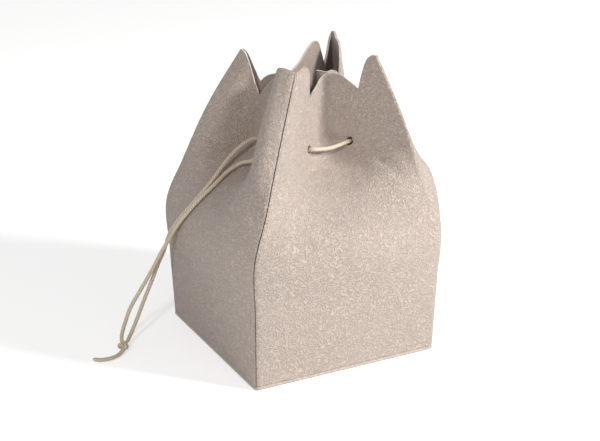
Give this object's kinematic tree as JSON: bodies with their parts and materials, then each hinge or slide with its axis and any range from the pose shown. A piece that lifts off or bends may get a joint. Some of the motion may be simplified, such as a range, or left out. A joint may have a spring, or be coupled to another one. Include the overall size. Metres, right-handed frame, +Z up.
{
  "type": "drawstring cosmetic pouch",
  "caption": "Square-based suede drawstring pouch, gathered at the neck by a thin cord through punched holes, with a scalloped rim and two cord ends knotted together",
  "frame": {"origin": "middle of the underside of the base panel, which rests on z = 0", "axes": "+Z up; the base's sides run along X and Y; the wall's seam is at the corner -X, -Y; the cord's ends hang on the side -X"},
  "size_m": [0.1681, 0.1139, 0.1496],
  "materials": {
    "suede": "taupe suede with a fine worm-like nap",
    "suede_base": "taupe suede",
    "cord": "cream waxed cord"
  },
  "bodies": {
    "root": {"wall_panel": "suede", "base_panel": "suede_base", "drawcord_threaded": "cord", "drawcord_end_upper": "cord", "drawcord_end_lower": "cord", "drawcord_tail": "cord", "cord_knot": "cord"}
  },
  "joints": []
}
